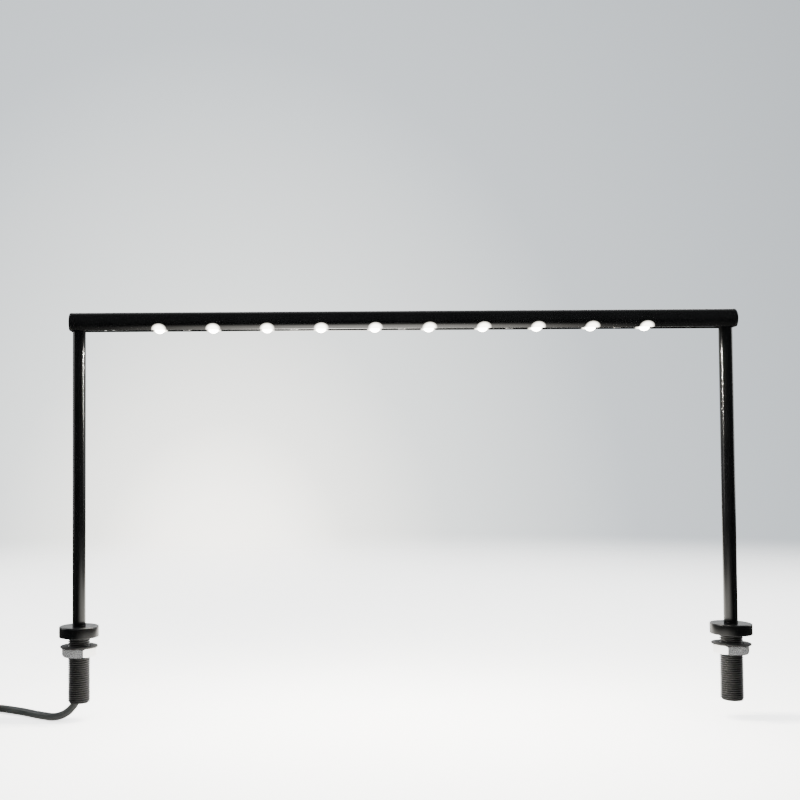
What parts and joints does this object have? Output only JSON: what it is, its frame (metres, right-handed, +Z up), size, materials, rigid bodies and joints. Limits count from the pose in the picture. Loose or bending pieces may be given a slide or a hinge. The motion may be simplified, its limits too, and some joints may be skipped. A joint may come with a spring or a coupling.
{
  "type": "aquarium light bar",
  "caption": "Slim round LED light bar on two posts with collars, hollow threaded studs and hex nuts, and a cord with a DC plug.",
  "frame": {"origin": "on the top face of the panel that the lamp is bolted to, midway between the two studs' axes", "axes": "+X along the light bar from the cord's stud to the other stud, +Z up out of the panel, +Y completes a right-handed frame"},
  "size_m": [0.4795, 0.0361, 0.1885],
  "materials": {
    "anodised": "satin black anodised aluminium",
    "board": "black solder mask on an aluminium-core board",
    "tape": "heat-conducting tape",
    "phosphor": "LED phosphor",
    "lens": "clear moulded lens, lit",
    "chip": "chip resistor",
    "solder": "solder",
    "wire_red": "insulated wire",
    "wire_black": "insulated wire",
    "sleeve": "heat-shrink sleeve",
    "collar_black": "semi-gloss black anodised",
    "stud_black": "black moulded thread",
    "washer_black": "black rubber",
    "nut_metal": "nickel-plated, turned",
    "bush_rubber": "black rubber",
    "cord_jacket": "black PVC jacket",
    "tie_black": "black nylon strap",
    "plug_black": "moulded PVC",
    "plug_metal": "nickel-plated sleeve",
    "plug_inner": "insulating ring",
    "contact_metal": "tinned brass contact"
  },
  "bodies": {
    "frame": {"bar_tube": "anodised", "left_end_plug": "anodised", "right_end_plug": "anodised", "led_board": "board", "board_tape": "tape", "led_emitters": "phosphor", "led_lenses": "lens", "chip_resistors": "chip", "solder_joints": "solder", "wire_red": "wire_red", "wire_black": "wire_black", "wire_splices": "sleeve", "left_post": "anodised", "right_post": "anodised", "left_collar": "collar_black", "right_collar": "collar_black", "left_stud": "stud_black", "right_stud": "stud_black", "cord_bush": "bush_rubber", "power_cord": "cord_jacket", "cord_hank": "cord_jacket", "cord_tail": "cord_jacket", "cord_tie": "tie_black", "plug_relief": "plug_black", "plug_body": "plug_black", "plug_barrel": "plug_metal", "plug_insulator": "plug_inner", "plug_contact": "contact_metal"},
    "left_washer_ring": {"left_washer": "washer_black"},
    "left_nut_ring": {"left_nut": "nut_metal"},
    "right_washer_ring": {"right_washer": "washer_black"},
    "right_nut_ring": {"right_nut": "nut_metal"}
  },
  "joints": [
    {"name": "left_washer_slide", "type": "slide", "parent": "frame", "child": "left_washer_ring", "axis": [0, 0, 1], "range_m": [-0.02101, 0.00351]},
    {"name": "left_nut_turn", "type": "hinge", "parent": "left_washer_ring", "child": "left_nut_ring", "pos_m": [-0.15, 0, -0.0067], "axis": [0, 0, 1], "range_deg": [-7560, 1260]},
    {"name": "right_washer_slide", "type": "slide", "parent": "frame", "child": "right_washer_ring", "axis": [0, 0, 1], "range_m": [-0.02101, 0.00351]},
    {"name": "right_nut_turn", "type": "hinge", "parent": "right_washer_ring", "child": "right_nut_ring", "pos_m": [0.15, 0, -0.0067], "axis": [0, 0, 1], "range_deg": [-7560, 1260]}
  ],
  "couplings": [
    {"joint": "left_washer_slide", "follows": "left_nut_turn", "m_per_rad": 0.00015915},
    {"joint": "right_washer_slide", "follows": "right_nut_turn", "m_per_rad": 0.00015915}
  ]
}
